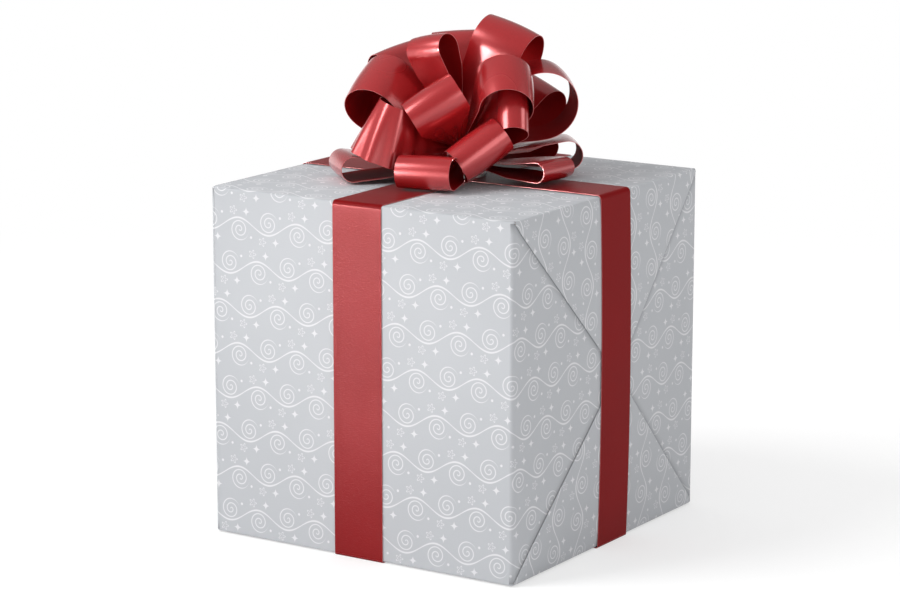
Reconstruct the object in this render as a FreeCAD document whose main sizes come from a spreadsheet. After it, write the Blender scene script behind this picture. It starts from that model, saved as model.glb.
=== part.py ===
import FreeCAD, Part
import os
import Sketcher

# A cube-shaped carton wrapped in paper, tied both ways with ribbon and topped with a looped bow.
# Millimetres, +Z up. X runs through the two folded paper ends, the front faces -Y.
# The origin is the middle of the footprint, on the surface that the box stands on.

# Driving sizes, one sheet cell each
SIZES = {
    "carton_length": 199,
    "carton_depth": 199,
    "carton_height": 199,
    "board": 3,
    "flap_seam": 1,
    "carton_tape_width": 48,
    "carton_tape_drop": 40,
    "tape_film": 0.05,
    "wrap_gap": 0.35,
    "paper": 0.15,
    "crease_gap": 0.3,
    "apex_shift": 7,
    "apex_drop": 3,
    "seam_shift": 30,
    "seam_tape_length": 120,
    "wrap_tape_width": 19,
    "wrap_tape_length": 36,
    "ribbon_width": 32,
    "ribbon": 0.3,
    "ribbon_gap": 0.25,
    "lengthwise_shift": 5,
    "crosswise_shift": -0.5,
    "leg_foot_gap": 0.2,
    "tail_length": 32,
    "tab": 0.5,
    "tab_length": 18,
    "tab_width": 22,
    "tab_inset": 6,
    "pad_radius": 14,
    "pad": 1.2,
    "knot_radius": 8.6,
    "knot_height": 24,
    "knot_rounding": 5,
    "loop_gap": 0.4,
    "neck_width": 6,
    "neck_length": 10,
    "flare_length": 40,
}

# Each loop of the bow: turn about Z, rise above level and roll about its own length in degrees,
# then length from the bow's axis, widest opening, height of its root above the paper, ribbon width
LOOPS = {
    "top_right": (47, 65, 52, 77, 33, 16, 32),
    "top_back": (124, 62, -8, 74, 22, 13, 32),
    "upper_mid": (-132, 71, 35, 61, 18, 23, 24),
    "upper_left": (173, 40, -13, 70, 18, 16, 32),
    "left": (-150, 33, -37, 73, 34, 15, 32),
    "center": (-85, 44, 46, 55, 24, 14, 32),
    "arch": (-12, 42, 56, 65, 32, 14, 28),
    "right_mid": (-12, 30, 64, 57, 18, 18, 32),
    "far_right": (36, 31, 11, 72, 41, 17, 25),
    "fan": (-121, 17, -101, 63, 30, 15, 32),
    "front_right": (-44, 10, 33, 54, 22, 14, 32),
    "front_low": (-78, 0, 0, 66, 15, 9, 32),
    "right_low_front": (-1, 1, -1, 66, 12, 8, 32),
    "right_low_back": (38, 3, -2, 68, 17, 10, 32),
    "left_low": (-133, 2, 0, 70, 13, 7, 32),
    "back_right": (67, 28, 22, 68, 26, 14, 32),
    "back_mid": (121, 29, -26, 57, 15, 13, 32),
    "back_low_right": (81, 4, 13, 67, 12, 8, 32),
    "back_low_mid": (126, 3, 0, 62, 19, 10, 32),
    "back_low_left": (171, 12, 5, 65, 13, 14, 32),
}
LOOP_WORDS = ("turn", "rise", "roll", "length", "belly", "root", "width")

doc = FreeCAD.newDocument("gift_box")
sheet = doc.addObject("Spreadsheet::Sheet", "sizes")
subparts = []


def fill_sheet():
    cells = dict(SIZES)
    for loop, values in LOOPS.items():
        for word, value in zip(LOOP_WORDS, values):
            cells[loop + "_" + word] = value
    for row, (alias, value) in enumerate(cells.items(), 1):
        sheet.set("A%d" % row, alias)
        sheet.set("B%d" % row, str(value))
        sheet.setAlias("B%d" % row, alias)
    doc.recompute()


# Expressions over the sheet
def size(alias):
    return "sizes." + alias


def plus(*terms):
    return "(" + " + ".join(terms) + ")"


def minus(first, *rest):
    return "(" + " - ".join((first,) + rest) + ")"


def times(number, term):
    return "(%g * %s)" % (number, term)


def around(middle, width):
    return minus(middle, times(0.5, width)), plus(middle, times(0.5, width))


def mirrored(span):
    return times(-1, span[1]), times(-1, span[0])


PAPER = size("paper")
RIBBON = size("ribbon")
BOARD = size("board")
FILM = size("tape_film")
FOLDED_PAPER = times(2, PAPER)
WRAP_STEP = plus(size("wrap_gap"), PAPER)

# Levels, from the floor up
SLEEVE_BOTTOM = plus(RIBBON, size("tab"))
CARTON_BOTTOM = plus(SLEEVE_BOTTOM, WRAP_STEP)
CARTON_TOP = plus(CARTON_BOTTOM, size("carton_height"))
SLEEVE_TOP = plus(CARTON_TOP, WRAP_STEP)
CROSSWISE_RUN = plus(SLEEVE_TOP, size("ribbon_gap"))
LENGTHWISE_RUN = plus(CROSSWISE_RUN, RIBBON)
LENGTHWISE_TOP = plus(LENGTHWISE_RUN, RIBBON)
KNOT_FOOT = plus(LENGTHWISE_TOP, size("pad"))

# Half sizes, from the middle out
CARTON_END = times(0.5, size("carton_length"))
CARTON_SIDE = times(0.5, size("carton_depth"))
SLEEVE_END = plus(CARTON_END, size("wrap_gap"))
SLEEVE_SIDE = plus(CARTON_SIDE, WRAP_STEP)
END_LEG = plus(SLEEVE_END, FOLDED_PAPER, size("ribbon_gap"))
SIDE_LEG = plus(SLEEVE_SIDE, size("ribbon_gap"))

# The point where the four flaps of an end meet
APEX_Y = size("apex_shift")
APEX_Z = minus(times(0.5, plus(SLEEVE_BOTTOM, SLEEVE_TOP)), size("apex_drop"))


def block(label, x, y, z):
    item = doc.addObject("Part::Box", label)
    for side, span in zip(("Length", "Width", "Height"), (x, y, z)):
        item.setExpression(side, minus(span[1], span[0]))
    for axis, span in zip("xyz", (x, y, z)):
        item.setExpression("Placement.Base." + axis, span[0])
    return item


def whole(half):
    return times(-1, half), half


def tube(label, outer, inner):
    cut = doc.addObject("Part::Cut", label)
    cut.Base = block(label + "_outside", *outer)
    cut.Tool = block(label + "_inside", *inner)
    return cut


def group(kind, label, pieces):
    item = doc.addObject(kind, label)
    if kind == "Part::Compound":
        item.Links = pieces
    else:
        item.Shapes = pieces
    return item


def keep(item):
    subparts.append(item)
    return item


# Carton: wall tube with inner flaps on the ends and outer flaps over them, front and back
def make_carton():
    wall_low = plus(CARTON_BOTTOM, times(2, BOARD))
    wall_high = minus(CARTON_TOP, times(2, BOARD))
    keep(tube(
        "carton_wall",
        (whole(CARTON_END), whole(CARTON_SIDE), (wall_low, wall_high)),
        (whole(minus(CARTON_END, BOARD)), whole(minus(CARTON_SIDE, BOARD)), (wall_low, wall_high)),
    ))
    half_seam = times(0.5, size("flap_seam"))
    layers = {
        "bottom": ((plus(CARTON_BOTTOM, BOARD), wall_low), (CARTON_BOTTOM, plus(CARTON_BOTTOM, BOARD))),
        "top": ((wall_high, minus(CARTON_TOP, BOARD)), (minus(CARTON_TOP, BOARD), CARTON_TOP)),
    }
    for level, (inner, outer) in layers.items():
        right = (half_seam, CARTON_END)
        back = (half_seam, CARTON_SIDE)
        name = "carton_%s_flap_" % level
        keep(block(name + "right", right, whole(CARTON_SIDE), inner))
        keep(block(name + "left", mirrored(right), whole(CARTON_SIDE), inner))
        keep(block(name + "back", whole(CARTON_END), back, outer))
        keep(block(name + "front", whole(CARTON_END), mirrored(back), outer))


# Tape over the outer flaps' seam, turned down or up the carton's ends
def make_carton_tape(level):
    width = around("0", size("carton_tape_width"))
    if level == "top":
        flat = (CARTON_TOP, plus(CARTON_TOP, FILM))
        drop = (minus(CARTON_TOP, size("carton_tape_drop")), plus(CARTON_TOP, FILM))
    else:
        flat = (minus(CARTON_BOTTOM, FILM), CARTON_BOTTOM)
        drop = (minus(CARTON_BOTTOM, FILM), plus(CARTON_BOTTOM, size("carton_tape_drop")))
    label = "carton_tape_" + level
    end = (CARTON_END, plus(CARTON_END, FILM))
    pieces = [
        block(label + "_flat", whole(CARTON_END), width, flat),
        block(label + "_right", end, width, drop),
        block(label + "_left", mirrored(end), width, drop),
    ]
    keep(group("Part::MultiFuse", label, pieces))


# Paper sleeve round the front, top, back and bottom, with the tape on its seam underneath
def make_sleeve():
    height = (SLEEVE_BOTTOM, SLEEVE_TOP)
    hollow = (plus(SLEEVE_BOTTOM, PAPER), minus(SLEEVE_TOP, PAPER))
    keep(tube(
        "wrap_sleeve",
        (whole(SLEEVE_END), whole(SLEEVE_SIDE), height),
        (whole(SLEEVE_END), whole(minus(SLEEVE_SIDE, PAPER)), hollow),
    ))
    keep(block(
        "wrap_seam_tape",
        around("0", size("seam_tape_length")),
        around(size("seam_shift"), size("wrap_tape_width")),
        (minus(SLEEVE_BOTTOM, FILM), SLEEVE_BOTTOM),
    ))


def origin_plane(body, role):
    for feature in body.Origin.OriginFeatures:
        if feature.Role == role:
            return feature


def new_sketch(body, name, role):
    sketch = body.newObject("Sketcher::SketchObject", name)
    sketch.AttachmentSupport = [(origin_plane(body, role), "")]
    sketch.MapMode = "FlatFace"
    return sketch


def bind(sketch, constraint, name, expression):
    index = sketch.addConstraint(constraint)
    sketch.renameConstraint(index, name)
    sketch.setExpression("Constraints." + name, expression)


def value_of(expression):
    return float(sheet.evalExpression(expression.replace("sizes.", "")))


# A closed outline of straight lines through points given as expressions
def outline(sketch, name, corners):
    places = [FreeCAD.Vector(value_of(x), value_of(y), 0) for x, y in corners]
    count = len(corners)
    first = sketch.GeometryCount
    for number in range(count):
        sketch.addGeometry(Part.LineSegment(places[number], places[(number + 1) % count]))
    for number in range(count):
        after = (number + 1) % count
        sketch.addConstraint(Sketcher.Constraint("Coincident", first + number, 2, first + after, 1))
    for number, (x, y) in enumerate(corners):
        line = first + number
        place = places[number]
        bind(sketch, Sketcher.Constraint("DistanceX", line, 1, place.x), "%s_x%d" % (name, number), x)
        bind(sketch, Sketcher.Constraint("DistanceY", line, 1, place.y), "%s_y%d" % (name, number), y)


# One end flap, drawn flat with its fold on the x axis, then stood up against its end
def make_flap(label, fold, along, reach, thickness, start, axes):
    body = doc.addObject("PartDesign::Body", label)
    sketch = new_sketch(body, label + "_outline", "XY_Plane")
    gap = size("crease_gap")
    outline(sketch, "corner", [(gap, "0"), (minus(fold, gap), "0"), (along, minus(reach, gap))])
    pad = body.newObject("PartDesign::Pad", label + "_pad")
    pad.Profile = sketch
    pad.setExpression("Length", thickness)
    body.Placement.Rotation = FreeCAD.Rotation(*axes, "ZXY")
    for axis, place in zip("xyz", start):
        body.setExpression("Placement.Base." + axis, place)
    keep(body)


X = FreeCAD.Vector(1, 0, 0)
Y = FreeCAD.Vector(0, 1, 0)
Z = FreeCAD.Vector(0, 0, 1)


# Four flaps of one end: fold line, the apex along it and away from it, start corner, and axes
def make_end(end, sign):
    name = "wrap_%s_flap_" % end
    depth = times(2, SLEEVE_SIDE)
    height = minus(SLEEVE_TOP, SLEEVE_BOTTOM)
    side = times(sign, SLEEVE_END)
    out = X * sign
    from_front = plus(SLEEVE_SIDE, APEX_Y)
    from_back = minus(SLEEVE_SIDE, APEX_Y)
    from_bottom = minus(APEX_Z, SLEEVE_BOTTOM)
    from_top = minus(SLEEVE_TOP, APEX_Z)
    back = SLEEVE_SIDE
    front = times(-1, SLEEVE_SIDE)
    top = SLEEVE_TOP
    bottom = SLEEVE_BOTTOM
    flaps = {
        "top": (depth, (from_back, from_front), from_top, FOLDED_PAPER, (back, front), top, -Z),
        "bottom": (depth, (from_front, from_back), from_bottom, FOLDED_PAPER, (front, back), bottom, Z),
        "front": (height, (from_top, from_bottom), from_front, PAPER, front, (top, bottom), Y),
        "back": (height, (from_bottom, from_top), from_back, PAPER, back, (bottom, top), -Y),
    }
    mirror = 0 if sign > 0 else 1
    for flap, (fold, along, reach, thickness, y, z, inward) in flaps.items():
        y = y if isinstance(y, str) else y[mirror]
        z = z if isinstance(z, str) else z[mirror]
        axes = (inward.cross(out), inward, out)
        make_flap(name + flap, fold, along[mirror], reach, thickness, (side, y, z), axes)
    tape = (plus(SLEEVE_END, FOLDED_PAPER), plus(SLEEVE_END, FOLDED_PAPER, FILM))
    keep(block(
        "wrap_tape_" + end,
        tape if sign > 0 else mirrored(tape),
        around(APEX_Y, size("wrap_tape_width")),
        around(APEX_Z, size("wrap_tape_length")),
    ))


# Ribbon: two runs crossing on top, four legs, four tails turned under, and the tabs that hold them
def make_ribbon():
    lengthwise = around(size("lengthwise_shift"), size("ribbon_width"))
    crosswise = around(size("crosswise_shift"), size("ribbon_width"))
    keep(block("ribbon_top_crosswise", crosswise, whole(SIDE_LEG), (CROSSWISE_RUN, LENGTHWISE_RUN)))
    keep(block("ribbon_top_lengthwise", whole(END_LEG), lengthwise, (LENGTHWISE_RUN, LENGTHWISE_TOP)))
    foot = plus(RIBBON, size("leg_foot_gap"))
    tabs = []
    for side, along, edge, leg, top, middle in (
        ("right", lengthwise, SLEEVE_END, END_LEG, LENGTHWISE_TOP, size("lengthwise_shift")),
        ("back", crosswise, SLEEVE_SIDE, SIDE_LEG, LENGTHWISE_RUN, size("crosswise_shift")),
    ):
        outside = plus(leg, RIBBON)
        tab_end = minus(edge, size("tab_inset"))
        out_spans = {
            "leg": ((leg, outside), along, (foot, top)),
            "tail": ((minus(outside, size("tail_length")), outside), along, ("0", RIBBON)),
            "tab": (
                (minus(tab_end, size("tab_length")), tab_end),
                around(middle, size("tab_width")),
                (RIBBON, SLEEVE_BOTTOM),
            ),
        }
        opposite = {"right": "left", "back": "front"}[side]
        for name, flip in ((side, False), (opposite, True)):
            for piece, (out, across, z) in out_spans.items():
                out = mirrored(out) if flip else out
                x, y = (out, across) if side == "right" else (across, out)
                item = block("ribbon_%s_%s" % (piece, name), x, y, z)
                if piece == "tab":
                    tabs.append(item)
                else:
                    keep(item)
    keep(group("Part::Compound", "ribbon_tabs", tabs))


def upright(label, radius, height, foot):
    item = doc.addObject("Part::Cylinder", label)
    item.setExpression("Radius", radius)
    item.setExpression("Height", height)
    item.setExpression("Placement.Base.x", size("crosswise_shift"))
    item.setExpression("Placement.Base.y", size("lengthwise_shift"))
    item.setExpression("Placement.Base.z", foot)
    return item


# Sticky pad and gathered knot in the middle of the bow
def make_knot():
    keep(upright("bow_pad", size("pad_radius"), size("pad"), LENGTHWISE_TOP))
    post = upright("knot_post", size("knot_radius"), size("knot_height"), KNOT_FOOT)
    doc.recompute()
    knot = doc.addObject("Part::Fillet", "bow_knot")
    knot.Base = post
    top_edge = max(range(len(post.Shape.Edges)), key=lambda number: post.Shape.Edges[number].CenterOfMass.z)
    rounding = value_of(size("knot_rounding"))
    knot.Edges = [(top_edge + 1, rounding, rounding)]
    keep(knot)
    room = plus(size("knot_radius"), size("loop_gap"))
    return upright("knot_room", room, plus(size("knot_height"), size("loop_gap")), KNOT_FOOT)


# A teardrop outline: two straight sides from a point on the x axis, tangent to a round tip
def teardrop(sketch, name, centre, radius, point=None):
    tip = value_of(radius)
    middle = value_of(centre)
    root = 0 if point is None else value_of(point)
    reach = middle - root
    across = tip / reach
    rise = (1 - across ** 2) ** 0.5
    touch = FreeCAD.Vector(middle - tip * across, tip * rise, 0)
    below = FreeCAD.Vector(touch.x, -touch.y, 0)
    corner = FreeCAD.Vector(root, 0, 0)
    far = FreeCAD.Vector(middle + tip, 0, 0)
    upper = sketch.addGeometry(Part.LineSegment(corner, touch))
    lower = sketch.addGeometry(Part.LineSegment(below, corner))
    arc = sketch.addGeometry(Part.Arc(below, far, touch))
    sketch.addConstraint(Sketcher.Constraint("Coincident", upper, 1, lower, 2))
    sketch.addConstraint(Sketcher.Constraint("Tangent", upper, 2, arc, 2))
    sketch.addConstraint(Sketcher.Constraint("Tangent", lower, 1, arc, 1))
    sketch.addConstraint(Sketcher.Constraint("PointOnObject", arc, 3, -1))
    bind(sketch, Sketcher.Constraint("DistanceX", arc, 3, middle), name + "_centre", centre)
    bind(sketch, Sketcher.Constraint("Radius", arc, tip), name + "_tip", radius)
    return upper, lower, arc


# One loop: a strip bent into a teardrop, narrowed towards its gathered root and cut to fit the knot
def make_loop(loop, knot_room):
    label = "bow_loop_" + loop
    body = doc.addObject("PartDesign::Body", label + "_strip")
    half_belly = times(0.5, size(loop + "_belly"))
    centre = minus(size(loop + "_length"), half_belly)

    side_view = new_sketch(body, label + "_side", "XZ_Plane")
    outer = teardrop(side_view, "outer", centre, half_belly)
    side_view.addConstraint(Sketcher.Constraint("Coincident", outer[0], 1, -1, 1))
    inside = minus(half_belly, RIBBON)
    point = "(%s * %s / %s)" % (RIBBON, centre, half_belly)
    inner = teardrop(side_view, "inner", centre, inside, point)
    side_view.addConstraint(Sketcher.Constraint("PointOnObject", inner[0], 1, -1))
    side_view.addConstraint(Sketcher.Constraint("Parallel", inner[0], outer[0]))
    strip = body.newObject("PartDesign::Pad", label + "_bend")
    strip.Profile = side_view
    strip.SideType = "Symmetric"
    strip.setExpression("Length", size(loop + "_width"))

    plan = new_sketch(body, label + "_plan", "XY_Plane")
    half_width = times(0.5, size(loop + "_width"))
    half_neck = times(0.5, size("neck_width"))
    beyond = plus(half_width, RIBBON)
    for name, sign in (("left", 1), ("right", -1)):
        outline(plan, name, [
            (times(-1, RIBBON), times(sign, half_neck)),
            (size("neck_length"), times(sign, half_neck)),
            (size("flare_length"), times(sign, half_width)),
            (size("flare_length"), times(sign, beyond)),
            (times(-1, RIBBON), times(sign, beyond)),
        ])
    taper = body.newObject("PartDesign::Pocket", label + "_taper")
    taper.Profile = plan
    taper.Type = "ThroughAll"
    taper.SideType = "Symmetric"
    body.setExpression("Placement", "placement(vector(%s; %s; %s); rotation(%s; -%s; %s))" % (
        size("crosswise_shift"),
        size("lengthwise_shift"),
        plus(SLEEVE_TOP, size(loop + "_root")),
        size(loop + "_turn"),
        size(loop + "_rise"),
        size(loop + "_roll"),
    ))

    fitted = doc.addObject("Part::Cut", label)
    fitted.Base = body
    fitted.Tool = knot_room
    keep(fitted)


def check_and_write():
    doc.recompute()
    for item in doc.Objects:
        if "Invalid" in item.State or "Error" in item.State:
            raise RuntimeError("%s did not build: %s" % (item.Label, item.State))
    for item in subparts:
        if item.Shape.isNull() or not item.Shape.isValid():
            raise RuntimeError("%s has no valid shape" % item.Label)
    os.makedirs("parts", exist_ok=True)
    for item in subparts:
        item.Shape.exportStep("parts/%s.step" % item.Label)
        print("%-28s %d solid(s) %10.1f mm3" % (item.Label, len(item.Shape.Solids), item.Shape.Volume))


fill_sheet()
make_carton()
make_carton_tape("top")
make_carton_tape("bottom")
make_sleeve()
make_end("right", 1)
make_end("left", -1)
make_ribbon()
room_for_knot = make_knot()
for loop_name in LOOPS:
    make_loop(loop_name, room_for_knot)
check_and_write()
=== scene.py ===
import bpy
import math
from mathutils import Matrix, Vector


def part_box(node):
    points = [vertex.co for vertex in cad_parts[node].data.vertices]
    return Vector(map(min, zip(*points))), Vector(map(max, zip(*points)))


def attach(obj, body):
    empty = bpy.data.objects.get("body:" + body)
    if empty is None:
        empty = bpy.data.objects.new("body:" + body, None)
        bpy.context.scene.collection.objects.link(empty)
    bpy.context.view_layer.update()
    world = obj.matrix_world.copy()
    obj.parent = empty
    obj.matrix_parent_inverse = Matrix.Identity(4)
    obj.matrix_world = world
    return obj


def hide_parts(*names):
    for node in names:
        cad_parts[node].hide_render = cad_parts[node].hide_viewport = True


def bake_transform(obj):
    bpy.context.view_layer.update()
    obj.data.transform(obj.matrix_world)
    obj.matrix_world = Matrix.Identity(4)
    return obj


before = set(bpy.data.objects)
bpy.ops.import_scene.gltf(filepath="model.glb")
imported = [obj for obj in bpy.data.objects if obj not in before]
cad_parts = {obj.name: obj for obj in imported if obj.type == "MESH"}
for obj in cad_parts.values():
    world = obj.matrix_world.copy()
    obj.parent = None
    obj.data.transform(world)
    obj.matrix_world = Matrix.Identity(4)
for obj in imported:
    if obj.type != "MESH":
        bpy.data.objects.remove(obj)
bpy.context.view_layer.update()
mm = 0.001
print("stage: frame loaded")


# node helpers
def wire(tree, socket, value):
    if isinstance(value, bpy.types.NodeSocket):
        tree.links.new(value, socket)
    elif value is not None:
        socket.default_value = value


def calc(tree, operation, first, second=None, third=None):
    node = tree.nodes.new("ShaderNodeMath")
    node.operation = operation
    for socket, value in zip(node.inputs, (first, second, third)):
        wire(tree, socket, value)
    return node.outputs[0]


def softBelow(tree, value, limit, soft):
    node = tree.nodes.new("ShaderNodeMapRange")
    node.interpolation_type = "SMOOTHSTEP"
    wire(tree, node.inputs["Value"], value)
    wire(tree, node.inputs["From Min"], limit - soft)
    wire(tree, node.inputs["From Max"], limit + soft)
    wire(tree, node.inputs["To Min"], 1.0)
    wire(tree, node.inputs["To Max"], 0.0)
    return node.outputs["Result"]


def mixColour(tree, factor, first, second):
    node = tree.nodes.new("ShaderNodeMix")
    node.data_type = "RGBA"
    wire(tree, node.inputs[0], factor)
    wire(tree, node.inputs[6], first)
    wire(tree, node.inputs[7], second)
    return node.outputs[2]


def noise(tree, vector, scale, detail=2.0, roughness=0.5):
    node = tree.nodes.new("ShaderNodeTexNoise")
    wire(tree, node.inputs["Vector"], vector)
    wire(tree, node.inputs["Scale"], scale)
    node.inputs["Detail"].default_value = detail
    node.inputs["Roughness"].default_value = roughness
    return node.outputs["Fac"]


def newGroup(name, ins, outs):
    tree = bpy.data.node_groups.new(name, "ShaderNodeTree")
    for socket, kind in ins:
        tree.interface.new_socket(name=socket, in_out="INPUT", socket_type=kind)
    for socket, kind in outs:
        tree.interface.new_socket(name=socket, in_out="OUTPUT", socket_type=kind)
    return tree, tree.nodes.new("NodeGroupInput"), tree.nodes.new("NodeGroupOutput")


# scroll print, in millimetres of the sheet: a waving stem, a curl under each wave, a flower, a dot, a star
def makeScrollPrint():
    look = {
        "row": 24.0, "cell": 20.0, "shift": 13.0, "wave": 4.2, "stroke": 0.30, "press": 0.2, "soft": 0.14,
        "curlAt": (0.8, -2.4), "curlGap": 2.7, "curlReach": 6.3, "curlFade": 0.2,
        "flowerAt": (-3.6, 8.2), "petals": 5.0, "petal": 0.75, "flowerRadius": 1.65, "flowerStroke": 0.26,
        "dotAt": (8.6, -6.4), "dotRadius": 0.75, "dotSoft": 0.15,
        "starAt": (5.4, 7.9), "starSize": 1.75, "starSoft": 0.08,
    }
    tree, start, end = newGroup(
        "scrollPrint", [("Sheet", "NodeSocketVector")], [("Ink", "NodeSocketFloat")])
    split = tree.nodes.new("ShaderNodeSeparateXYZ")
    tree.links.new(start.outputs["Sheet"], split.inputs[0])
    x = calc(tree, "MULTIPLY", split.outputs[0], 1 / mm)
    y = calc(tree, "MULTIPLY", split.outputs[1], 1 / mm)
    row = calc(tree, "FLOOR", calc(tree, "DIVIDE", y, look["row"]))
    localY = calc(tree, "SUBTRACT", calc(tree, "MULTIPLY_ADD", row, -look["row"], y), look["row"] / 2)
    x = calc(tree, "MULTIPLY_ADD", row, look["shift"], x)
    cell = calc(tree, "FLOOR", calc(tree, "DIVIDE", x, look["cell"]))
    localX = calc(tree, "SUBTRACT", calc(tree, "MULTIPLY_ADD", cell, -look["cell"], x), look["cell"] / 2)
    # every other cell hangs upside down
    flip = calc(tree, "MULTIPLY_ADD", calc(tree, "FLOORED_MODULO", cell, 2.0), -2.0, 1.0)
    localY = calc(tree, "MULTIPLY", localY, flip)

    def near(point):
        dx = calc(tree, "SUBTRACT", localX, point[0])
        dy = calc(tree, "SUBTRACT", localY, point[1])
        square = calc(tree, "ADD", calc(tree, "POWER", dx, 2.0), calc(tree, "POWER", dy, 2.0))
        return dx, dy, calc(tree, "SQRT", square)

    angle = calc(tree, "MULTIPLY", localX, math.pi / look["cell"])
    hump = calc(tree, "MULTIPLY", calc(tree, "COSINE", angle), look["wave"])
    stemOff = calc(tree, "ABSOLUTE", calc(tree, "SUBTRACT", localY, hump))
    thick = calc(tree, "MULTIPLY_ADD", calc(tree, "COSINE", angle), look["press"], look["stroke"])
    stem = softBelow(tree, calc(tree, "SUBTRACT", stemOff, thick), 0.0, look["soft"])

    dx, dy, away = near(look["curlAt"])
    swirl = calc(tree, "SUBTRACT", calc(tree, "DIVIDE", away, look["curlGap"]),
                 calc(tree, "DIVIDE", calc(tree, "ARCTAN2", dy, dx), 2 * math.pi))
    lane = calc(tree, "ABSOLUTE", calc(tree, "SUBTRACT", calc(tree, "FRACT", swirl), 0.5))
    lane = calc(tree, "MULTIPLY", lane, look["curlGap"])
    curl = softBelow(tree, lane, look["stroke"], look["soft"])
    curl = calc(tree, "MULTIPLY", curl, softBelow(tree, away, look["curlReach"], look["curlFade"]))

    dx, dy, away = near(look["flowerAt"])
    petal = calc(tree, "COSINE", calc(tree, "MULTIPLY", calc(tree, "ARCTAN2", dy, dx), look["petals"]))
    petal = calc(tree, "MULTIPLY_ADD", petal, look["petal"], look["flowerRadius"])
    petal = calc(tree, "ABSOLUTE", calc(tree, "SUBTRACT", away, petal))
    flower = softBelow(tree, petal, look["flowerStroke"], look["soft"])

    dx, dy, away = near(look["dotAt"])
    dot = softBelow(tree, away, look["dotRadius"], look["dotSoft"])

    dx, dy, away = near(look["starAt"])
    points = calc(tree, "ADD", calc(tree, "SQRT", calc(tree, "ABSOLUTE", dx)),
                  calc(tree, "SQRT", calc(tree, "ABSOLUTE", dy)))
    star = softBelow(tree, points, look["starSize"], look["starSoft"])

    ink = stem
    for mark in (curl, flower, dot, star):
        ink = calc(tree, "MAXIMUM", ink, mark)
    tree.links.new(ink, end.inputs["Ink"])
    return tree


# fine embossed grain, used on paper, ribbon and board
def makeGrain():
    look = {"detail": 3.0, "cells": 0.6, "height": 0.4 * mm}
    tree, start, end = newGroup(
        "fineGrain",
        [("Where", "NodeSocketVector"), ("Scale", "NodeSocketFloat"), ("Depth", "NodeSocketFloat")],
        [("Normal", "NodeSocketVector"), ("Tone", "NodeSocketFloat")],
    )
    fine = noise(tree, start.outputs["Where"], start.outputs["Scale"], look["detail"])
    cells = tree.nodes.new("ShaderNodeTexVoronoi")
    wire(tree, cells.inputs["Vector"], start.outputs["Where"])
    wire(tree, cells.inputs["Scale"], start.outputs["Scale"])
    height = calc(tree, "MULTIPLY_ADD", cells.outputs["Distance"], look["cells"], fine)
    bump = tree.nodes.new("ShaderNodeBump")
    bump.inputs["Distance"].default_value = look["height"]
    wire(tree, bump.inputs["Strength"], start.outputs["Depth"])
    wire(tree, bump.inputs["Height"], height)
    tree.links.new(bump.outputs["Normal"], end.inputs["Normal"])
    tree.links.new(height, end.inputs["Tone"])
    return tree


scrollPrint = makeScrollPrint()
fineGrain = makeGrain()


def newMaterial(name):
    material = bpy.data.materials.new(name)
    material.use_nodes = True
    tree = material.node_tree
    return material, tree, tree.nodes["Principled BSDF"]


def grainOn(tree, shader, where, scale, depth):
    node = tree.nodes.new("ShaderNodeGroup")
    node.node_tree = fineGrain
    wire(tree, node.inputs["Where"], where)
    node.inputs["Scale"].default_value = scale
    node.inputs["Depth"].default_value = depth
    tree.links.new(node.outputs["Normal"], shader.inputs["Normal"])
    return node.outputs["Tone"]


def objectPlace(tree):
    return tree.nodes.new("ShaderNodeTexCoord").outputs["Object"]


def makePaper():
    look = {
        "grey": (0.43, 0.44, 0.46, 1), "shade": (0.395, 0.405, 0.425, 1), "ink": (0.60, 0.60, 0.615, 1),
        "paintedShade": (0.17, 0.175, 0.185, 1), "cloud": 14.0, "cloudDetail": 3.0, "gloss": 0.52,
        "inkGloss": 0.08, "cloudGloss": 0.06, "shine": 0.05, "grain": 900.0, "depth": 0.10,
    }
    material, tree, shader = newMaterial("wrappingPaper")
    sheet = tree.nodes.new("ShaderNodeUVMap")
    sheet.uv_map = "sheet"
    group = tree.nodes.new("ShaderNodeGroup")
    group.node_tree = scrollPrint
    tree.links.new(sheet.outputs[0], group.inputs["Sheet"])
    cloud = noise(tree, objectPlace(tree), look["cloud"], look["cloudDetail"])
    ground = mixColour(tree, cloud, look["grey"], look["shade"])
    printed = mixColour(tree, group.outputs["Ink"], ground, look["ink"])
    # painted shade: this attribute darkens the print along the flaps' edges, as a shadow line and as the
    # shadow the top and bottom flaps cast
    paintedShade = tree.nodes.new("ShaderNodeAttribute")  # set along the flaps' edges by makeFlap
    paintedShade.attribute_name = "paintedShade"
    colour = mixColour(tree, paintedShade.outputs["Fac"], printed, look["paintedShade"])
    tree.links.new(colour, shader.inputs["Base Color"])
    gloss = calc(tree, "MULTIPLY_ADD", group.outputs["Ink"], look["inkGloss"], look["gloss"])
    gloss = calc(tree, "MULTIPLY_ADD", cloud, look["cloudGloss"], gloss)
    tree.links.new(gloss, shader.inputs["Roughness"])
    shader.inputs["Specular IOR Level"].default_value = look["shine"]
    grainOn(tree, shader, objectPlace(tree), look["grain"], look["depth"])
    return material


# the sheet's unprinted side
def makePaperBack():
    look = {"white": (0.72, 0.72, 0.71, 1), "fibre": (0.63, 0.63, 0.62, 1), "scale": 420.0, "detail": 4.0,
            "rough": 0.6, "gloss": 0.75, "grain": 900.0, "depth": 0.15}
    material, tree, shader = newMaterial("paperBack")
    fibre = noise(tree, objectPlace(tree), look["scale"], look["detail"], look["rough"])
    tree.links.new(mixColour(tree, fibre, look["white"], look["fibre"]), shader.inputs["Base Color"])
    shader.inputs["Roughness"].default_value = look["gloss"]
    grainOn(tree, shader, objectPlace(tree), look["grain"], look["depth"])
    return material


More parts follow.
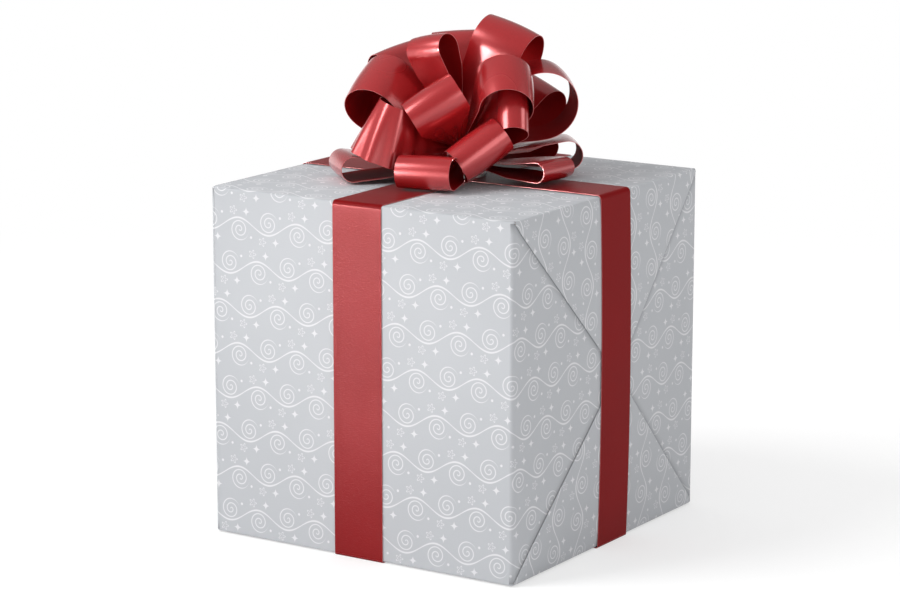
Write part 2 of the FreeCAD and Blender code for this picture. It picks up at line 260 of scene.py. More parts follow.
def makeRibbon(name, look):
    weave = {"cloud": 22.0, "cloudShare": 0.5, "toneShare": 0.35, "glossSpread": 0.08, "coatGloss": 0.2}
    material, tree, shader = newMaterial(name)
    place = objectPlace(tree)
    tone = grainOn(tree, shader, place, look["scale"], look["depth"])
    cloud = noise(tree, place, weave["cloud"])
    blend = calc(tree, "MULTIPLY", cloud, weave["cloudShare"])
    blend = calc(tree, "MULTIPLY_ADD", tone, weave["toneShare"], blend)
    tree.links.new(mixColour(tree, blend, look["deep"], look["red"]), shader.inputs["Base Color"])
    gloss = calc(tree, "MULTIPLY_ADD", cloud, weave["glossSpread"], look["gloss"])
    tree.links.new(gloss, shader.inputs["Roughness"])
    shader.inputs["Metallic"].default_value = look["metal"]
    shader.inputs["Specular IOR Level"].default_value = look["shine"]
    shader.inputs["Coat Weight"].default_value = look["coat"]
    shader.inputs["Coat Roughness"].default_value = weave["coatGloss"]
    return material


def makeBoard():
    look = {"kraft": (0.42, 0.27, 0.15, 1), "fleck": (0.27, 0.16, 0.085, 1), "stretch": (1.0, 1.0, 6.0),
            "scale": 260.0, "detail": 4.0, "rough": 0.65, "gloss": 0.85, "grain": 700.0, "depth": 0.2}
    material, tree, shader = newMaterial("cartonBoard")
    place = objectPlace(tree)
    stretch = tree.nodes.new("ShaderNodeMapping")
    tree.links.new(place, stretch.inputs["Vector"])
    stretch.inputs["Scale"].default_value = look["stretch"]
    fibre = noise(tree, stretch.outputs[0], look["scale"], look["detail"], look["rough"])
    tree.links.new(mixColour(tree, fibre, look["kraft"], look["fleck"]), shader.inputs["Base Color"])
    shader.inputs["Roughness"].default_value = look["gloss"]
    grainOn(tree, shader, place, look["grain"], look["depth"])
    return material


def makeTape(name, colour, alpha):
    look = {"scale": 120.0, "detail": 3.0, "pale": 1.15, "gloss": 0.18, "glossSpread": 0.15}
    material, tree, shader = newMaterial(name)
    streak = noise(tree, objectPlace(tree), look["scale"], look["detail"])
    pale = tuple(min(1.0, part * look["pale"]) for part in colour[:3]) + (1,)
    tree.links.new(mixColour(tree, streak, colour, pale), shader.inputs["Base Color"])
    gloss = calc(tree, "MULTIPLY_ADD", streak, look["glossSpread"], look["gloss"])
    tree.links.new(gloss, shader.inputs["Roughness"])
    shader.inputs["Alpha"].default_value = alpha
    return material


paperLook = makePaper()
paperBack = makePaperBack()
ribbonLook = makeRibbon("satinRibbon", {
    "red": (0.205, 0.005, 0.006, 1), "deep": (0.145, 0.003, 0.004, 1), "scale": 1250.0, "depth": 0.17,
    "gloss": 0.27, "metal": 0.03, "shine": 0.03, "coat": 0.0})
bowLook = makeRibbon("bowRibbon", {
    "red": (0.50, 0.018, 0.022, 1), "deep": (0.38, 0.008, 0.011, 1), "scale": 900.0, "depth": 0.06,
    "gloss": 0.22, "metal": 0.36, "shine": 0.8, "coat": 0.75})
# the loops' inner side: matte, and its darker red is painted shade inside the loops
insideShadeLook = makeRibbon("bowInsideShade", {
    "red": (0.30, 0.006, 0.007, 1), "deep": (0.20, 0.003, 0.004, 1), "scale": 900.0, "depth": 0.1,
    "gloss": 0.50, "metal": 0.0, "shine": 0.03, "coat": 0.0})
# painted highlight: the ribbons' cut edges get a pale pink that stands in for light catching them
edgeHighlightLook = makeRibbon("ribbonEdgeHighlight", {
    "red": (0.72, 0.22, 0.22, 1), "deep": (0.55, 0.12, 0.12, 1), "scale": 900.0, "depth": 0.05,
    "gloss": 0.40, "metal": 0.1, "shine": 0.4, "coat": 0.0})
boardLook = makeBoard()
cartonTapeLook = makeTape("cartonTape", (0.50, 0.33, 0.17, 1), 0.9)
clearTapeLook = makeTape("clearTape", (0.80, 0.81, 0.82, 1), 0.35)
tabLook = makeTape("stickyTab", (0.78, 0.77, 0.74, 1), 1.0)
print("stage: materials")


# shaping helpers
def clearPick():
    if bpy.context.object and bpy.context.object.mode != "OBJECT":
        bpy.ops.object.mode_set(mode="OBJECT")
    bpy.ops.object.select_all(action="DESELECT")


def pick(obj):
    clearPick()
    obj.select_set(True)
    bpy.context.view_layer.objects.active = obj


# leaves the object in edit mode with the faces or edges that pass the test selected
def editWhere(obj, kind, test):
    pick(obj)
    bpy.ops.object.mode_set(mode="EDIT")
    bpy.ops.mesh.select_mode(type=kind)
    bpy.ops.mesh.select_all(action="DESELECT")
    bpy.ops.object.mode_set(mode="OBJECT")
    for part in obj.data.polygons if kind == "FACE" else obj.data.edges:
        part.select = test(part)
    bpy.ops.object.mode_set(mode="EDIT")


def edgeRise(obj, edge):
    first, last = (obj.data.vertices[index].co for index in edge.vertices)
    return abs(first.z - last.z)


def cubeAt(name, centre, size):
    clearPick()
    bpy.ops.mesh.primitive_cube_add(size=1, location=centre)
    obj = bpy.context.object
    obj.name = name
    obj.scale = size
    bpy.ops.object.transform_apply(location=True, rotation=True, scale=True)
    return obj


# a grid bent by a formula: shape gives a point and its place on the flat sheet, both in millimetres;
# shade, when given, sets a painted shade at each point
def formGrid(name, columns, rows, shape, shade=None):
    clearPick()
    bpy.ops.mesh.primitive_grid_add(x_subdivisions=columns, y_subdivisions=rows, size=2)
    obj = bpy.context.object
    obj.name = name
    flat = []
    paintedShade = obj.data.attributes.new("paintedShade", "FLOAT", "POINT") if shade else None
    for vert in obj.data.vertices:
        a = (vert.co.x + 1) / 2
        b = (vert.co.y + 1) / 2
        place, sheet = shape(a, b)
        flat.append(sheet)
        vert.co = Vector(place) * mm
        if paintedShade:
            paintedShade.data[vert.index].value = shade(a, b)
    layer = obj.data.uv_layers[0]
    layer.name = "sheet"
    for corner in obj.data.loops:
        u, v = flat[corner.vertex_index]
        layer.data[corner.index].uv = (u * mm, v * mm)
    return obj


def smooth(degrees=40):
    bpy.ops.object.shade_smooth_by_angle(angle=math.radians(degrees))


def thicken(obj, thickness, offset=0.0, rim=0, inside=0):
    weld = 0.01
    pick(obj)
    solid = obj.modifiers.new("thickness", "SOLIDIFY")
    solid.thickness = thickness * mm
    solid.offset = offset
    solid.material_offset_rim = rim
    solid.material_offset = inside
    bpy.ops.object.modifier_apply(modifier=solid.name)
    bpy.ops.object.mode_set(mode="EDIT")
    bpy.ops.mesh.select_all(action="SELECT")
    bpy.ops.mesh.remove_doubles(threshold=weld * mm)
    bpy.ops.mesh.normals_make_consistent(inside=False)
    bpy.ops.object.mode_set(mode="OBJECT")
    smooth()


def dress(obj, slot, *materials):
    obj.data.materials.clear()
    for material in materials:
        obj.data.materials.append(material)


# box in millimetres; the end's four folds meet at the apex, and the end swells a little
box = {"end": 99.85, "side": 100.0, "low": 0.8, "high": 200.8, "soft": 2.2, "crisp": 1.0,
       "apexY": 7.0, "apexZ": 97.8, "swell": 1.6}
boxMiddle = (box["low"] + box["high"]) / 2
boxFace = box["high"] - box["low"]


def swell(y, z):
    across = max(0.0, 1 - (y / box["side"]) ** 2)
    up = max(0.0, 1 - ((z - boxMiddle) / box["side"]) ** 2)
    return box["swell"] * across * up


# paper round the front, top, back and bottom, open at both ends but for its corners
def makeSleeve():
    sleeve = {"thick": 0.15, "segments": 5, "endFrom": 90.0, "cornerFrom": 95.0}
    size = Vector((2 * box["end"], 2 * box["side"], boxFace)) * mm
    obj = cubeAt("paperSleeve", (0, 0, boxMiddle * mm), size)
    weights = obj.data.attributes.new("bevel_weight_edge", "FLOAT", "EDGE")
    for edge in obj.data.edges:
        upright = edgeRise(obj, edge) > size.z / 2
        weights.data[edge.index].value = 1.0 if upright else box["crisp"] / box["soft"]
    rounding = obj.modifiers.new("folds", "BEVEL")
    rounding.limit_method = "WEIGHT"
    rounding.width = box["soft"] * mm
    rounding.segments = sleeve["segments"]
    bpy.ops.object.modifier_apply(modifier=rounding.name)

    def openEnd(face):
        x, y, z = face.center / mm
        atCorner = abs(y) > sleeve["cornerFrom"] and abs(z - boxMiddle) > sleeve["cornerFrom"]
        return abs(x) > sleeve["endFrom"] and not atCorner

    editWhere(obj, "FACE", openEnd)
    bpy.ops.mesh.delete(type="FACE")
    bpy.ops.object.mode_set(mode="OBJECT")
    layer = obj.data.uv_layers[0]
    layer.name = "sheet"
    for face in obj.data.polygons:
        upper = face.normal.z - face.normal.y > 0
        for index in face.loop_indices:
            x, y, z = obj.data.vertices[obj.data.loops[index].vertex_index].co / mm
            around = y + box["side"] + z - box["low"]
            layer.data[index].uv = (x * mm, (around if upper else 4 * boxFace - around) * mm)
    dress(obj, "wrapping_paper", paperLook, paperBack)
    thicken(obj, sleeve["thick"], -1.0, inside=1)
    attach(obj, "wrapped_carton")
    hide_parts("wrap_sleeve")


# where each end flap folds, which way it points and how far it reaches
flapPlans = {
    "top": {"foldAt": (0, box["high"]), "toward": (0, -1), "reach": box["high"] - box["apexZ"]},
    "bottom": {"foldAt": (0, box["low"]), "toward": (0, 1), "reach": box["apexZ"] - box["low"]},
    "front": {"foldAt": (-box["side"], boxMiddle), "toward": (1, 0), "reach": box["side"] + box["apexY"]},
    "back": {"foldAt": (box["side"], boxMiddle), "toward": (-1, 0), "reach": box["side"] - box["apexY"]},
}
flapForm = {
    "columns": 28, "rows": 40, "crowd": 1.3, "thick": 0.12, "tip": 0.4, "weld": 0.05,
    "under": 0.08, "over": 0.5, "liftOver": 4.0, "lap": 1.2, "lapOver": 6.0, "bendOut": 0.03,
    "edgeWide": 0.8, "edgeDrop": 0.4, "dark": 0.75, "fade": 8.0, "blendReach": 2.8,
}


# one end flap, from the sleeve's edge round the fold to the apex; front and back lie under top and bottom
def makeFlap(end, sign, flap):
    plan = flapPlans[flap]
    form = flapForm
    columns = form["columns"]
    reach = plan["reach"]
    standing = flap in ("front", "back")
    apexAlong = box["apexZ"] - box["low"] if standing else box["apexY"] + box["side"]
    lift = form["under"] if standing else form["over"]
    lap = 0.0 if standing else form["lap"]
    bend = box["soft"] if standing else box["crisp"]
    corner = box["crisp"] if standing else box["soft"]
    arc = bend * math.pi / 2

    def atEdge(a):
        return not standing and a > 1 - 0.5 / columns

    # columns crowd at a standing flap's edges, and the last column of the others is a narrow rim
    def across(a, low, high):
        if standing:
            return low + (high - low) * (0.5 - 0.5 * math.cos(math.pi * a))
        if atEdge(a):
            return high
        return low + (high - form["edgeWide"] - low) * a * columns / (columns - 1)

    # painted shade: a dark line on the rim of the top and bottom flaps, and on the front and back flaps a
    # shadow fading away from the edges the top and bottom flaps lie over
    def shade(a, b):
        if not standing:
            return form["dark"] if atEdge(a) else 0.0
        wide = boxFace * max(0.0, 1 - b ** form["crowd"])
        along = across(a, 0.0, wide)
        return form["dark"] * max(0.0, 1 - min(along, wide - along) / form["fade"]) ** 2

    def shape(a, b):
        path = (b ** form["crowd"]) * (reach - form["tip"] - bend + arc)
        if path < arc:
            turn = path / bend
            out = box["end"] - bend + (bend + form["bendOut"]) * math.sin(turn)
            inward = bend - (bend + form["bendOut"]) * math.cos(turn)
            low, high = corner, boxFace - corner
        else:
            inward = bend + path - arc
            share = inward / reach
            rising = min(1.0, (path - arc) / form["liftOver"])
            out = box["end"] + lift * rising
            ease = min(1.0, (path - arc) / form["lapOver"])
            low = apexAlong * share - lap * ease
            high = boxFace - (boxFace - apexAlong) * share + lap * ease
            if atEdge(a):
                out -= form["edgeDrop"] * rising
        along = across(a, low, high)
        if standing:
            y = inward - box["side"] if flap == "front" else box["side"] - inward
            z = box["low"] + along
        else:
            y = along - box["side"]
            z = box["high"] - inward if flap == "top" else box["low"] + inward
        out += swell(y, z)
        up = z - box["low"]
        back = y + box["side"]
        around = {"front": up, "top": boxFace + back,
                  "back": 3 * boxFace - up, "bottom": 4 * boxFace - back}
        return (sign * out, y, z), (sign * (box["end"] - bend + path), around[flap])

    obj = formGrid("paperFlap_%s_%s" % (end, flap), columns, form["rows"], shape, shade)
    pick(obj)
    bpy.ops.object.mode_set(mode="EDIT")
    bpy.ops.mesh.select_all(action="SELECT")
    bpy.ops.mesh.remove_doubles(threshold=form["weld"] * mm)
    if sum(face.normal.x * face.area for face in obj.data.polygons) * sign < 0:
        bpy.ops.mesh.flip_normals()
    bpy.ops.object.mode_set(mode="OBJECT")
    dress(obj, "wrapping_paper", paperLook, paperBack)
    thicken(obj, form["thick"], inside=1)
    foldY, foldZ = plan["foldAt"]
    towardY, towardZ = (part * form["blendReach"] for part in plan["toward"])
    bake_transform(obj)
    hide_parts("wrap_%s_flap_%s" % (end, flap))


def makeEndTape(end, sign):
    tape = {"wide": 19.0, "tall": 36.0, "above": 0.6, "thick": 0.05}

    def shape(a, b):
        y = box["apexY"] + (a - 0.5) * tape["wide"]
        z = box["apexZ"] + (b - 0.5) * tape["tall"]
        return (sign * (box["end"] + tape["above"] + swell(y, z)), y, z), (y, z)

    obj = formGrid("endTape_" + end, 8, 12, shape)
    thicken(obj, tape["thick"])
    dress(obj, "clear_tape", clearTapeLook)
    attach(obj, "%s_top_flap" % end)
    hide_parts("wrap_tape_" + end)


# carton board with its upright corners rounded; the wall is an open tube
def makeBoardPiece(node):
    board = {"corner": 2.8, "segments": 5, "wall": 3.0}
    low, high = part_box(node)
    size = high - low
    obj = cubeAt("board_" + node, (low + high) / 2, size)
    editWhere(obj, "EDGE", lambda edge: edgeRise(obj, edge) > size.z / 2)
    bpy.ops.mesh.bevel(offset=board["corner"] * mm, segments=board["segments"], affect="EDGES")
    bpy.ops.object.mode_set(mode="OBJECT")
    if node == "carton_wall":
        editWhere(obj, "FACE", lambda face: abs(face.normal.z) > 0.9)
        bpy.ops.mesh.delete(type="FACE")
        bpy.ops.object.mode_set(mode="OBJECT")
        thicken(obj, board["wall"], -1.0)
    else:
        smooth()
    dress(obj, "carton_board", boardLook)
    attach(obj, "wrapped_carton")
    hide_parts(node)


makeBoardPiece("carton_wall")
for level in ("top", "bottom"):
    for side in ("right", "left", "front", "back"):
        makeBoardPiece("carton_%s_flap_%s" % (level, side))
makeSleeve()
for end, sign in (("right", 1), ("left", -1)):
    for flap in ("front", "back", "top", "bottom"):
        makeFlap(end, sign, flap)
    makeEndTape(end, sign)
print("stage: paper")


# paths of straight lines and arcs, as points out from the box's middle and up
def alongPath(points, distance):
    for (x0, z0), (x1, z1) in zip(points, points[1:]):
        step = math.hypot(x1 - x0, z1 - z0)
        if distance <= step + 1e-9:
            share = distance / step
            return x0 + (x1 - x0) * share, z0 + (z1 - z0) * share
        distance -= step
    return points[-1]


def arcPoints(cx, cz, radius, first, last, count=10):
    angles = [math.radians(first + (last - first) * n / count) for n in range(count + 1)]
    return [(cx + radius * math.cos(a), cz + radius * math.sin(a)) for a in angles]


def pathLength(points):
    return sum(math.hypot(b[0] - a[0], b[1] - a[1]) for a, b in zip(points, points[1:]))


# ribbon in millimetres; the two runs cross under the bow, the lengthwise one on top
cross = {"x": -0.5, "y": 5.0}
ribbon = {"width": 32.0, "thick": 0.3}
ribbonRuns = {
    "lengthwise": {"level": 201.5, "leg": 100.8, "centre": cross["y"], "start": cross["x"], "onEnd": True},
    "crosswise": {"level": 201.2, "leg": 100.4, "centre": cross["x"], "start": cross["y"], "onEnd": False},
}


# a side's run, measured outwards to that side, and what puts its points in the frame
def runOf(side):
    lengthwise = side in ("right", "left")
    sign = 1 if side in ("right", "back") else -1
    run = dict(ribbonRuns["lengthwise" if lengthwise else "crosswise"])
    run["start"] *= sign

    def put(out, across, z):
        return (sign * out, across, z) if lengthwise else (across, sign * out, z)

    return run, put


# half of a top run with its leg, in one strip
def makeRibbonHalf(side):
    half = {"bend": 2.5, "foot": 1.3, "rows": 10, "flatSteps": (0, 20, 40, 60, 80, 92), "nearBend": 3.0,
            "bendGap": 0.5, "bendSteps": 16, "bendStep": 0.45, "legSteps": 40, "swellTop": 195.0,
            "swellFade": 0.2, "dish": 0.05, "dishOver": 60.0, "blendIn": 3.2, "blendDown": 3.4}
    run, put = runOf(side)
    level, leg, centre = run["level"], run["leg"], run["centre"]
    bend = half["bend"]
    points = [(run["start"], level)] + arcPoints(leg - bend, level - bend, bend, 90, 0)
    points.append((leg, half["foot"]))
    beforeBend = pathLength(points[:2]) - half["nearBend"]
    flatEnd = beforeBend - half["bendGap"]
    stops = [flatEnd * step / half["flatSteps"][-1] for step in half["flatSteps"]]
    stops += [beforeBend + n * half["bendStep"] for n in range(1, half["bendSteps"] + 1)]
    legStart = stops[-1]
    legLength = pathLength(points) - legStart
    stops += [legStart + legLength * n / half["legSteps"] for n in range(1, half["legSteps"] + 1)]
    count = len(stops) - 1

    def shape(a, b):
        distance = stops[int(round(a * count))]
        out, z = alongPath(points, distance)
        across = centre + (b - 0.5) * ribbon["width"]
        onLeg = z < half["swellTop"]
        if run["onEnd"] and onLeg:
            out += swell(across, z)
        elif run["onEnd"]:
            fade = half["swellFade"] * (level - z) / (level - half["swellTop"])
            out += swell(across, half["swellTop"]) * max(0.0, fade)
        elif onLeg:
            out += half["dish"] * (2 * b - 1) ** 2 * min(1.0, distance / half["dishOver"])
        return put(out, across, z), (distance, across)

    obj = formGrid("ribbonHalf_" + side, count, half["rows"], shape)
    dress(obj, "ribbon", ribbonLook, edgeHighlightLook)
    thicken(obj, ribbon["thick"], rim=1)
    high = Vector(put(leg - half["blendIn"], centre, level))
    low = Vector(put(leg, centre, level - half["blendDown"]))
    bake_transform(obj)
    names = ["ribbon_leg_" + side]
    if side == "right":
        names.append("ribbon_top_lengthwise")
    if side == "front":
        names.append("ribbon_top_crosswise")
    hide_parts(*names)


# the end of a leg, turned under the bottom edge
def makeTail(side):
    tail = {"reach": 31.7, "halfway": 12.0, "bend": 1.0, "bendSteps": 6, "above": 0.17, "rows": 6}
    run, put = runOf(side)
    leg, bend = run["leg"], tail["bend"]
    points = [(leg - tail["reach"], tail["above"]), (leg - tail["halfway"], tail["above"])]
    points += arcPoints(leg - bend, tail["above"] + bend, bend, -90, 0, tail["bendSteps"])
    stops = [pathLength(points[:n + 1]) for n in range(len(points))]
    count = len(stops) - 1

    def shape(a, b):
        distance = stops[int(round(a * count))]
        out, z = alongPath(points, distance)
        across = run["centre"] + (b - 0.5) * ribbon["width"]
        return put(out, across, z), (distance, across)

    obj = formGrid("ribbonTail_" + side, count, tail["rows"], shape)
    dress(obj, "ribbon", ribbonLook, edgeHighlightLook)
    thicken(obj, ribbon["thick"], rim=1)
    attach(obj, "wrapped_carton")
    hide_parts("ribbon_tail_" + side)


for side in ("right", "left", "front", "back"):
    makeRibbonHalf(side)
    makeTail(side)
print("stage: ribbon")

# bow loops: turn, rise and roll in degrees, length, opening, root height and width in millimetres,
# then cupping, ripple and how far the edges cone
loops = {
    "top_right": (47, 65, 52, 77, 33, 16, 32, 0.9, 0.2, 0),
    "top_back": (124, 62, -8, 74, 22, 13, 32, 0.7, 0.2, 0),
    "upper_mid": (-132, 71, 35, 61, 18, 23, 24, 0.6, 0.2, 0),
    "upper_left": (173, 43, -15, 74, 20, 17, 32, 0.6, 0.2, 0),
    "left": (-150, 33, -37, 71, 33, 17, 32, 0.9, 0.2, 0),
    "center": (-85, 44, 46, 55, 24, 14, 32, 0.7, 0.2, 0),
    "arch": (-12, 46, 57, 65, 32, 16.5, 28, 0.8, 0.2, 0),
    "right_mid": (-15, 31, 66, 58, 18, 17.5, 32, 0.4, 0.1, 0),
    "far_right": (36, 31, 11, 72, 41, 17, 25, 0.6, 0.2, 0),
    "fan": (-118, 16, -101, 63, 30, 15.5, 33, 0.3, 0.8, 3.0),
    "front_right": (-44, 10, 33, 54, 22, 14, 32, 0.5, 0.2, 0),
    "front_low": (-77, 0, 0, 66, 19, 10.8, 32, 0.4, 0.2, 0),
    "right_low_front": (-1, 1, -1, 66, 12, 8, 32, 0.3, 0.2, 0),
    "right_low_back": (38, 3, -2, 68, 17, 10, 32, 0.4, 0.2, 0),
    "left_low": (-133, 0, 0, 74, 15, 8.6, 32, 0.4, 0.2, 0),
    "back_right": (67, 28, 22, 68, 26, 14, 32, 0.4, 0.2, 0),
    "back_mid": (121, 29, -26, 57, 15, 13, 32, 0.4, 0.2, 0),
    "back_low_right": (81, 4, 13, 67, 12, 8, 32, 0.3, 0.2, 0),
    "back_low_mid": (126, 3, 0, 62, 19, 10, 32, 0.4, 0.2, 0),
    "back_low_left": (171, 12, 5, 65, 13, 14, 32, 0.4, 0.2, 0),
}
bow = {
    "start": 8.2, "neck": 6.0, "neckLength": 10.0, "flare": 40.0, "thick": 0.32, "cupLevel": 0.35,
    "pleat": 0.6, "pleats": 3, "pleatFade": 1.2, "phaseStep": 1.3, "wavePhase": 1.7, "waveLean": 0.8,
    "waves": 19, "columns": 110, "fanWaves": 74, "fanColumns": 220, "fanLean": 1.3, "rows": 18,
}


# a strip that leaves the knot, goes round a belly and comes back; a coned one is the rippled fan
def makeLoop(name, values, phase):
    turn, rise, roll, length, belly, root, width, cup, ripple, cone = values
    waves = bow["fanWaves"] if cone else bow["waves"]
    radius = (belly - bow["thick"]) / 2
    centre = length - belly / 2
    lean = math.asin(radius / centre)
    straight = math.sqrt(centre ** 2 - radius ** 2)
    sideLength = straight - bow["start"]
    bellyLength = radius * (math.pi + 2 * lean)
    total = 2 * sideLength + bellyLength
    turned = (Matrix.Rotation(math.radians(turn), 3, "Z") @ Matrix.Rotation(math.radians(-rise), 3, "Y")
              @ Matrix.Rotation(math.radians(roll), 3, "X"))
    middle = Vector((cross["x"], cross["y"], box["high"] + root))

    def shape(a, b):
        path = a * total
        if path < sideLength:
            reach = bow["start"] + path
            u, w = reach * math.cos(lean), reach * math.sin(lean)
            normalU, normalW = -math.sin(lean), math.cos(lean)
        elif path < sideLength + bellyLength:
            angle = math.pi / 2 + lean - (path - sideLength) / radius
            normalU, normalW = math.cos(angle), math.sin(angle)
            u, w = centre + radius * normalU, radius * normalW
        else:
            reach = bow["start"] + total - path
            u, w = reach * math.cos(lean), -reach * math.sin(lean)
            normalU, normalW = -math.sin(lean), -math.cos(lean)
        spread = min(1.0, max(0.0, (u - bow["neckLength"]) / (bow["flare"] - bow["neckLength"])))
        half = (bow["neck"] + (width - bow["neck"]) * spread) / 2
        t = 2 * b - 1
        pleat = math.cos(math.pi * bow["pleats"] * t + phase)
        pleat *= bow["pleat"] * (1 - spread) ** bow["pleatFade"]
        wave = ripple * math.sin(a * waves + phase * bow["wavePhase"] + t * bow["waveLean"]) * spread
        if cone:
            wave = wave * (bow["fanLean"] + t) / 2 + cone * t * spread
        off = pleat + wave - cup * spread * (t * t - bow["cupLevel"])
        local = Vector((u + normalU * off, half * t, w + normalW * off))
        return tuple(turned @ local + middle), (path, t * half)

    obj = formGrid("bowLoop_" + name, bow["fanColumns"] if cone else bow["columns"], bow["rows"], shape)
    # the rim gets the painted edge highlight, and the inner side the painted shade
    dress(obj, "bow_ribbon", bowLook, edgeHighlightLook, insideShadeLook)
    thicken(obj, bow["thick"], rim=1, inside=2)
    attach(obj, "bow")
    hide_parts("bow_loop_" + name)


for number, (name, values) in enumerate(loops.items()):
    makeLoop(name, values, number * bow["phaseStep"])


def makeKnot():
    knot = {"radius": 8.4, "low": 202.85, "high": 226.6, "sides": 132, "cuts": 3, "pleats": 11,
            "pleat": 0.05, "tuckFrom": 0.72, "tuck": 0.28, "sink": 3.0, "smooth": 50}
    clearPick()
    height = knot["high"] - knot["low"]
    bpy.ops.mesh.primitive_cylinder_add(
        vertices=knot["sides"], radius=knot["radius"] * mm, depth=height * mm, end_fill_type="TRIFAN",
        location=(cross["x"] * mm, cross["y"] * mm, (knot["low"] + height / 2) * mm))
    obj = bpy.context.object
    obj.name = "bowKnot"
    bpy.ops.object.transform_apply(location=True, rotation=True, scale=True)
    bpy.ops.object.mode_set(mode="EDIT")
    bpy.ops.mesh.select_all(action="SELECT")
    bpy.ops.mesh.subdivide(number_cuts=knot["cuts"])
    bpy.ops.object.mode_set(mode="OBJECT")
    for vert in obj.data.vertices:
        x = vert.co.x / mm - cross["x"]
        y = vert.co.y / mm - cross["y"]
        away = math.hypot(x, y) / knot["radius"]
        level = (vert.co.z / mm - knot["low"]) / height
        above = max(0.0, level - knot["tuckFrom"]) / (1 - knot["tuckFrom"])
        pleat = 1 - knot["pleat"] * (1 + math.cos(knot["pleats"] * math.atan2(y, x))) * away
        tuck = 1 - knot["tuck"] * above
        vert.co.x = (cross["x"] + x * pleat * tuck) * mm
        vert.co.y = (cross["y"] + y * pleat * tuck) * mm
        vert.co.z -= knot["sink"] * away ** 2 * above * mm
    smooth(knot["smooth"])
    dress(obj, "bow_ribbon", bowLook)
    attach(obj, "bow")
    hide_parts("bow_knot")


makeKnot()
print("stage: bow")

# finishes of the frame's own pieces that stay in use
finishes = {
    "carton_tape": cartonTapeLook,
    "wrap_seam": clearTapeLook,
    "ribbon_tabs": tabLook,
    "bow_pad": tabLook,
}
for name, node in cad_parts.items():
    for start, material in finishes.items():
        if name.startswith(start):
            node.data.materials.clear()
            node.data.materials.append(material)


# rays that come from a gloss or through a clear film
def mirroredRay(tree, path):
    return calc(tree, "MAXIMUM", path.outputs["Is Glossy Ray"], path.outputs["Is Transmission Ray"])


# white to the eye and in reflections away from the box, with the box's shadow close to it
def makeFloor():
    look = {"size": 12.0, "white": (0.93, 0.93, 0.93, 1), "pale": (0.94, 0.94, 0.94, 1), "cloud": 3.0,
            "cloudDetail": 1.0, "gloss": 0.9, "shine": 0.1, "lift": 0.5, "whiteFrom": 0.62, "fade": 0.36}
    clearPick()
    bpy.ops.mesh.primitive_plane_add(size=look["size"], location=(0, 0, 0))
    floor = bpy.context.object
    floor.name = "floor"
    material, tree, shader = newMaterial("paleFloor")
    cloud = noise(tree, objectPlace(tree), look["cloud"], look["cloudDetail"])
    tree.links.new(mixColour(tree, cloud, look["white"], look["pale"]), shader.inputs["Base Color"])
    shader.inputs["Roughness"].default_value = look["gloss"]
    shader.inputs["Specular IOR Level"].default_value = look["shine"]
    away = tree.nodes.new("ShaderNodeVectorMath")
    away.operation = "LENGTH"
    tree.links.new(objectPlace(tree), away.inputs[0])
    close = softBelow(tree, away.outputs["Value"], look["whiteFrom"], look["fade"])
    far = calc(tree, "SUBTRACT", 1.0, close)
    lift = calc(tree, "MULTIPLY_ADD", far, 1 - look["lift"], look["lift"])
    path = tree.nodes.new("ShaderNodeLightPath")
    seen = calc(tree, "MAXIMUM", path.outputs["Is Camera Ray"], mirroredRay(tree, path))
    glow = tree.nodes.new("ShaderNodeEmission")
    swap = tree.nodes.new("ShaderNodeMixShader")
    tree.links.new(calc(tree, "MULTIPLY", lift, seen), swap.inputs[0])
    tree.links.new(shader.outputs[0], swap.inputs[1])
    tree.links.new(glow.outputs[0], swap.inputs[2])
    tree.links.new(swap.outputs[0], tree.nodes["Material Output"].inputs["Surface"])
    floor.data.materials.append(material)


def addLamp(name, kind, place, aim, power):
    data = bpy.data.lights.new(name, kind)
    data.energy = power
    lamp = bpy.data.objects.new(name, data)
    bpy.context.scene.collection.objects.link(lamp)
    lamp.location = place
    lamp.rotation_euler = (Vector(aim) - Vector(place)).to_track_quat("-Z", "Y").to_euler()
    return lamp, data


def makeLamps():
    aim = (0, 0, 0.12)
    lamps = {
        "key": {"place": (-1.7, -2.0, 2.3), "size": 1.9, "power": 81.0},
        "fill": {"place": (2.5, -1.3, 1.0), "size": 1.6, "power": 16.0},
        "rim": {"place": (1.9, 1.6, 1.6), "size": 1.2, "power": 9.0},
    }
    for name, values in lamps.items():
        lamp, data = addLamp(name, "AREA", values["place"], aim, values["power"])
        data.shape = "DISK"
        data.size = values["size"]
    # a small spot that only gloss shows, for the ribbon on the front
    sheen = {"place": (-0.52, -0.98, 0.14), "aim": (0, -0.1, 0.115), "power": 620.0, "size": 0.13,
             "cone": 11.2, "blend": 0.3}
    lamp, data = addLamp("sheen", "SPOT", sheen["place"], sheen["aim"], sheen["power"])
    data.shadow_soft_size = sheen["size"]
    data.spot_size = math.radians(sheen["cone"])
    data.spot_blend = sheen["blend"]
    lamp.visible_diffuse = False


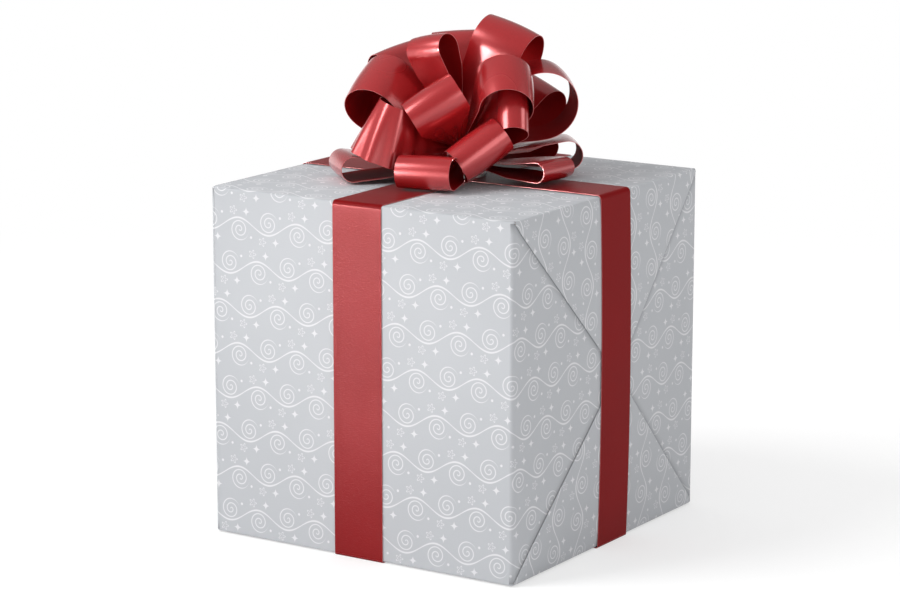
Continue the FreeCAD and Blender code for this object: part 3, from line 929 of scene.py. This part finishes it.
# a soft dome, brighter above and to the left, dimmer in gloss; white to the eye and in low reflections
def makeWorld():
    sky = {"side": -0.35, "up": 0.9, "slope": 0.6, "level": 0.41, "least": 0.06, "gloss": 0.4,
           "horizon": 0.14}
    white = (1, 1, 1, 1)
    world = bpy.data.worlds.new("studio")
    bpy.context.scene.world = world
    world.use_nodes = True
    tree = world.node_tree
    tree.nodes.clear()
    out = tree.nodes.new("ShaderNodeOutputWorld")
    coords = tree.nodes.new("ShaderNodeTexCoord")
    split = tree.nodes.new("ShaderNodeSeparateXYZ")
    tree.links.new(coords.outputs["Generated"], split.inputs[0])
    toward = calc(tree, "MULTIPLY", split.outputs[2], sky["up"])
    toward = calc(tree, "MULTIPLY_ADD", split.outputs[0], sky["side"], toward)
    level = calc(tree, "MULTIPLY_ADD", toward, sky["slope"], sky["level"])
    level = calc(tree, "MAXIMUM", level, sky["least"])
    path = tree.nodes.new("ShaderNodeLightPath")
    dim = calc(tree, "MULTIPLY_ADD", path.outputs["Is Glossy Ray"], sky["gloss"] - 1, 1.0)
    level = calc(tree, "MULTIPLY", level, dim)
    low = softBelow(tree, split.outputs[2], sky["horizon"], sky["horizon"])
    mirrored = calc(tree, "MULTIPLY", mirroredRay(tree, path), low)
    seen = calc(tree, "MAXIMUM", path.outputs["Is Camera Ray"], mirrored)
    soft = tree.nodes.new("ShaderNodeBackground")
    soft.inputs["Color"].default_value = white
    tree.links.new(level, soft.inputs["Strength"])
    plain = tree.nodes.new("ShaderNodeBackground")
    plain.inputs["Color"].default_value = white
    swap = tree.nodes.new("ShaderNodeMixShader")
    tree.links.new(seen, swap.inputs[0])
    tree.links.new(soft.outputs[0], swap.inputs[1])
    tree.links.new(plain.outputs[0], swap.inputs[2])
    tree.links.new(swap.outputs[0], out.inputs[0])


def makeView():
    view = {"lens": 125.87, "sensor": 36, "place": (0.9579, -1.4820, 0.5098), "tilt": 77.83, "turn": 33.02}
    lens = bpy.data.cameras.new("view")
    lens.lens = view["lens"]
    lens.sensor_width = view["sensor"]
    eye = bpy.data.objects.new("view", lens)
    bpy.context.scene.collection.objects.link(eye)
    eye.location = view["place"]
    eye.rotation_euler = (math.radians(view["tilt"]), 0, math.radians(view["turn"]))
    bpy.context.scene.camera = eye
    bpy.context.scene.view_settings.view_transform = "Standard"


makeFloor()
makeLamps()
makeWorld()
makeView()
print("stage: light and camera")
